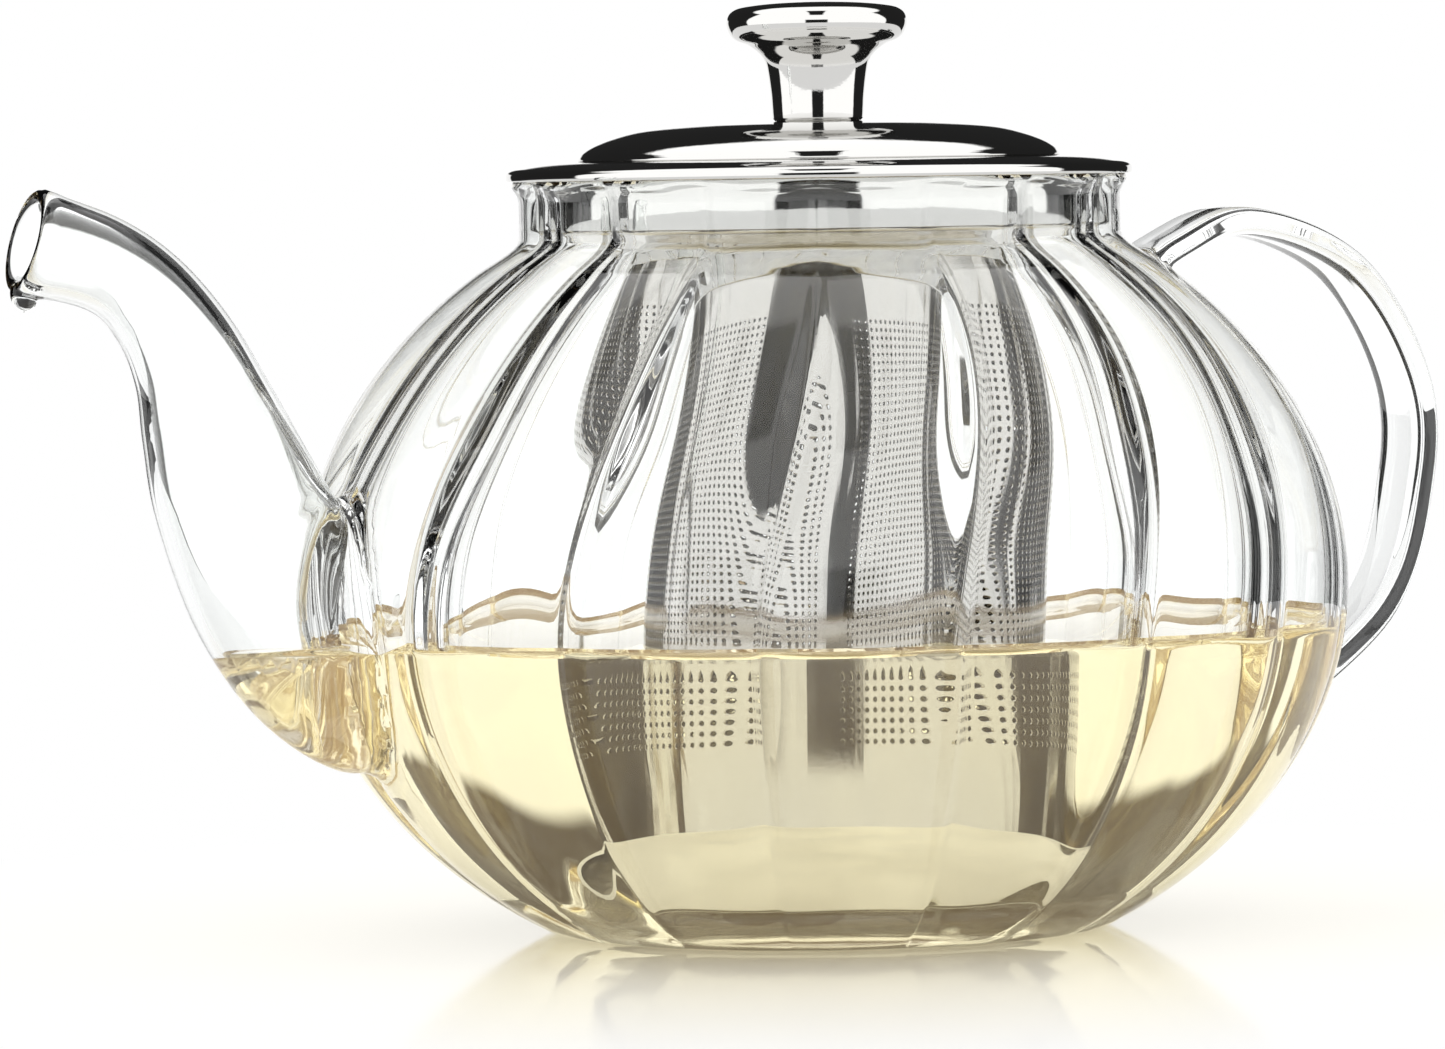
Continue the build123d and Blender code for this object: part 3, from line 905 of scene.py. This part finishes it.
def floor_plane():
    """A glossy floor that glows evenly white further out; close to the pot, a painted warm glow and
    beige colour stand in for the tea's cream reflection and caustic.
    """
    verts = [(0, 0, 0)]
    for i in range(FLOOR_SIDES):
        a = 2 * math.pi * i / FLOOR_SIDES
        verts.append((FLOOR_RADIUS * math.cos(a), FLOOR_RADIUS * math.sin(a), 0))
    faces = [(0, i + 1, (i + 1) % FLOOR_SIDES + 1) for i in range(FLOOR_SIDES)]
    floor = new_object("floor", verts, faces, smooth=False)
    material, tree, shader = node_material("white_gloss_floor")
    # Painted light near the pot: this beige colour and faint warm emission stand in for the cream
    # reflection and caustic that the tea casts on the floor.
    shader.inputs["Base Color"].default_value = (0.72, 0.69, 0.58, 1)
    shader.inputs["IOR"].default_value = 1.45
    shader.inputs["Roughness"].default_value = 0.07
    shader.inputs["Emission Color"].default_value = (1, 0.91, 0.66, 1)
    shader.inputs["Emission Strength"].default_value = 0.13
    glow = tree.nodes.new("ShaderNodeEmission")
    place = tree.nodes.new("ShaderNodeTexCoord")
    reach = tree.nodes.new("ShaderNodeVectorMath")
    reach.operation = "LENGTH"
    tree.links.new(place.outputs["Object"], reach.inputs[0])
    away = remap(tree, reach.outputs["Value"], 0.0, 1.0, PAINTED_WARMTH_START, PAINTED_WARMTH_END)
    mix = tree.nodes.new("ShaderNodeMixShader")
    tree.links.new(away, mix.inputs["Fac"])
    tree.links.new(shader.outputs[0], mix.inputs[1])
    tree.links.new(glow.outputs[0], mix.inputs[2])
    tree.links.new(mix.outputs[0], tree.nodes["Material Output"].inputs["Surface"])
    floor.data.materials.append(material)


def light_panel(azimuth):
    """A low lit panel close behind the pot, which the camera itself doesn't see."""
    a = math.radians(azimuth)
    right = Vector((math.cos(a), math.sin(a), 0))
    back = Vector((-math.sin(a), math.cos(a), 0)) * PANEL_DISTANCE
    corners = []
    for side, z in ((-1, 0.0005), (1, 0.0005), (1, PANEL_HEIGHT), (-1, PANEL_HEIGHT)):
        corners.append(back + right * side * PANEL_HALF_WIDTH + Vector((0, 0, z)))
    panel = new_object("light_panel", corners, [(0, 1, 2, 3)], smooth=False)
    material, tree, shader = node_material("light_panel")
    tree.nodes.remove(shader)
    glow = tree.nodes.new("ShaderNodeEmission")
    glow.inputs["Strength"].default_value = PANEL_STRENGTH
    place = tree.nodes.new("ShaderNodeTexCoord")
    split = tree.nodes.new("ShaderNodeSeparateXYZ")
    tree.links.new(place.outputs["Object"], split.inputs[0])
    x, y, z = split.outputs
    side = math_node(tree, "ADD", math_node(tree, "MULTIPLY", x, right.x),
                     math_node(tree, "MULTIPLY", y, right.y))
    reach = PANEL_HALF_WIDTH - PANEL_SOFT
    seen = math_node(tree, "MULTIPLY", band(tree, side, -reach, reach, PANEL_SOFT),
                     band(tree, z, -1.0, PANEL_HEIGHT - PANEL_SOFT, PANEL_SOFT))
    clear = tree.nodes.new("ShaderNodeBsdfTransparent")
    mix = tree.nodes.new("ShaderNodeMixShader")
    tree.links.new(seen, mix.inputs["Fac"])
    tree.links.new(clear.outputs[0], mix.inputs[1])
    tree.links.new(glow.outputs[0], mix.inputs[2])
    tree.links.new(mix.outputs[0], tree.nodes["Material Output"].inputs["Surface"])
    panel.data.materials.append(material)
    panel.visible_camera = False
    panel.visible_diffuse = False
    panel.visible_shadow = False


def studio_world(azimuth):
    """White softboxes on both sides and above, with dark gaps between them.

    The background itself shows white.
    """
    world = bpy.data.worlds.new("studio")
    bpy.context.scene.world = world
    world.use_nodes = True
    tree = world.node_tree
    tree.nodes.clear()

    place = tree.nodes.new("ShaderNodeTexCoord")
    split = tree.nodes.new("ShaderNodeSeparateXYZ")
    tree.links.new(place.outputs["Generated"], split.inputs[0])
    x, y, z = split.outputs
    a = math.radians(azimuth)
    side = math_node(tree, "ADD", math_node(tree, "MULTIPLY", x, math.cos(a)),
                     math_node(tree, "MULTIPLY", y, math.sin(a)))
    front = math_node(tree, "SUBTRACT", math_node(tree, "MULTIPLY", x, math.sin(a)),
                      math_node(tree, "MULTIPLY", y, math.cos(a)))
    turn = math_node(tree, "ABSOLUTE", math_node(tree, "ARCTAN2", side, front))
    turn = math_node(tree, "MULTIPLY", turn, 180 / math.pi)
    height = math_node(tree, "MULTIPLY", math_node(tree, "ARCSINE", z), 180 / math.pi)

    boxes = math_node(tree, "MULTIPLY", band(tree, turn, *BOXES_TURN, 1.5),
                      band(tree, height, *BOXES_HEIGHT, 2))
    ceiling = band(tree, height, CEILING_HEIGHT, 120, 2)
    gap = math_node(tree, "MULTIPLY", band(tree, side, -CEILING_GAP, CEILING_GAP, 0.02),
                    band(tree, front, 0.0, 2.0, 0.05))
    ceiling = math_node(tree, "MULTIPLY", ceiling, math_node(tree, "SUBTRACT", 1.0, gap))
    fill = math_node(tree, "MULTIPLY", band(tree, turn, *FILL_TURN, 1.5),
                     band(tree, height, *FILL_HEIGHT, 2))
    white = math_node(tree, "MAXIMUM", math_node(tree, "MAXIMUM", boxes, ceiling), fill)
    level = math_node(tree, "MULTIPLY_ADD", white, WHITE_LEVEL, DARK_LEVEL)

    studio = tree.nodes.new("ShaderNodeBackground")
    studio.inputs["Color"].default_value = (1, 1, 1, 1)
    tree.links.new(level, studio.inputs["Strength"])
    seen = tree.nodes.new("ShaderNodeBackground")
    seen.inputs["Color"].default_value = (1, 1, 1, 1)
    seen.inputs["Strength"].default_value = 1.0
    path = tree.nodes.new("ShaderNodeLightPath")
    mix = tree.nodes.new("ShaderNodeMixShader")
    tree.links.new(path.outputs["Is Camera Ray"], mix.inputs["Fac"])
    tree.links.new(studio.outputs[0], mix.inputs[1])
    tree.links.new(seen.outputs[0], mix.inputs[2])
    output = tree.nodes.new("ShaderNodeOutputWorld")
    tree.links.new(mix.outputs[0], output.inputs["Surface"])


floor_plane()
light_panel(CAMERA_AZIMUTH)
studio_world(CAMERA_AZIMUTH)

turn = math.radians(CAMERA_AZIMUTH)
camera = bpy.data.objects.new("camera", bpy.data.cameras.new("camera"))
bpy.context.scene.collection.objects.link(camera)
camera.data.lens = 214
camera.data.sensor_width = 36
camera.location = (
    CAMERA_DISTANCE * math.sin(turn), -CAMERA_DISTANCE * math.cos(turn), CAMERA_HEIGHT)
aim = Vector((-AIM_LEFT * math.cos(turn), -AIM_LEFT * math.sin(turn), AIM_HEIGHT))
look = (aim - camera.location).to_track_quat("-Z", "Y").to_matrix()
camera.rotation_euler = (look @ Matrix.Rotation(CAMERA_ROLL, 3, "Z")).to_euler()
camera.data.clip_start = 0.01
bpy.context.scene.camera = camera

scene = bpy.context.scene
scene.view_settings.view_transform = "Standard"
scene.cycles.max_bounces = 32
scene.cycles.transmission_bounces = 28
scene.cycles.glossy_bounces = 8
scene.cycles.transparent_max_bounces = 16
scene.cycles.use_denoising = True
scene.cycles.sample_clamp_indirect = 6.0
